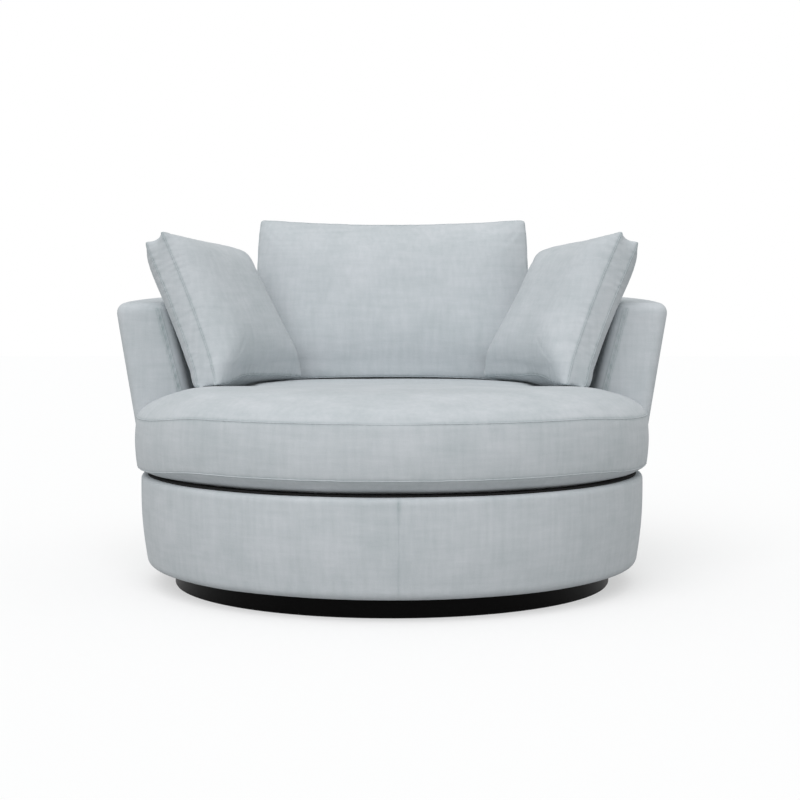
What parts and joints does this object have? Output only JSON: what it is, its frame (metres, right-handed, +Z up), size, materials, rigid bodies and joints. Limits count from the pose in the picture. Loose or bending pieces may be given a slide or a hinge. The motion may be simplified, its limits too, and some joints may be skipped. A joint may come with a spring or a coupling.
{
  "type": "swivel cuddle chair",
  "caption": "Wide round upholstered swivel armchair with a tub back, a T-shaped seat cushion, a loose back cushion and scatter pillows, on a recessed round plinth.",
  "frame": {"origin": "on the floor, on the swivel axis, at the middle of the plinth", "axes": "+Z up along the swivel axis; the chair faces -Y, so +X is on the sitter's left"},
  "size_m": [1.3018, 1.262, 0.8713],
  "materials": {
    "cloth": "matte woven, pale grey-blue",
    "filling": "matte",
    "zip": "matte",
    "black_lacquer": "satin black lacquer",
    "plywood": "matte",
    "hardwood": "matte",
    "hardboard": "matte",
    "steel": "satin",
    "cage_plastic": "matte",
    "felt": "matte",
    "platform_cloth": "matte black",
    "pad_felt": "matte"
  },
  "bodies": {
    "plinth": {"plinth_felt_ring": "felt", "plinth_rim": "black_lacquer", "plinth_board": "plywood", "plinth_blocks": "hardwood", "swivel_lower_plate": "steel", "lower_plate_screws": "steel", "pivot_bolt": "steel", "pivot_nut": "steel"},
    "ball_ring": {"ball_cage": "cage_plastic", "bearing_balls": "steel"},
    "carcase": {"swivel_upper_plate": "steel", "upper_plate_screws": "steel", "drum_bottom_board": "plywood", "drum_uprights": "hardwood", "drum_lining_board": "hardboard", "seat_rail_ring": "plywood", "spring_rails": "hardwood", "seat_springs": "steel", "spring_clips": "steel", "deck_pad": "pad_felt", "seat_deck": "platform_cloth", "drum_padding": "filling", "drum_cover": "cloth", "tub_bolts": "steel", "arm_posts": "hardwood", "back_posts": "hardwood", "tub_top_rail": "plywood", "tub_outer_lining": "hardboard", "tub_inner_lining": "hardboard", "tub_padding": "filling", "tub_outer_cover": "cloth", "tub_inner_cover": "cloth", "arm_front_cover_left": "cloth", "arm_front_cover_right": "cloth"},
    "seat_cushion": {"seat_filling": "filling", "seat_cover": "cloth", "seat_zip": "zip"},
    "back_cushion": {"back_filling": "filling", "back_cover": "cloth", "back_zip": "zip"},
    "pillow_left": {"left_pillow_filling": "filling", "left_pillow_cover": "cloth", "left_pillow_zip": "zip"},
    "pillow_right": {"right_pillow_filling": "filling", "right_pillow_cover": "cloth", "right_pillow_zip": "zip"}
  },
  "joints": [
    {"name": "swivel", "type": "hinge", "parent": "plinth", "child": "carcase", "pos_m": [0, 0, 0.0445], "axis": [0, 0, 1], "continuous": true},
    {"name": "ball_orbit", "type": "hinge", "parent": "plinth", "child": "ball_ring", "pos_m": [0, 0, 0.0445], "axis": [0, 0, 1], "continuous": true},
    {"name": "seat_cushion_lift", "type": "slide", "parent": "carcase", "child": "seat_cushion", "axis": [0, 0, 1], "range_m": [0, 0.3]},
    {"name": "back_cushion_lift", "type": "slide", "parent": "seat_cushion", "child": "back_cushion", "axis": [0, 0.2588, 0.9659], "range_m": [0, 0.3]},
    {"name": "left_pillow_lift", "type": "slide", "parent": "seat_cushion", "child": "pillow_left", "axis": [0, 0, 1], "range_m": [0, 0.3]},
    {"name": "right_pillow_lift", "type": "slide", "parent": "seat_cushion", "child": "pillow_right", "axis": [0, 0, 1], "range_m": [0, 0.3]}
  ],
  "couplings": [
    {"joint": "ball_orbit", "follows": "swivel", "ratio": 0.5}
  ]
}
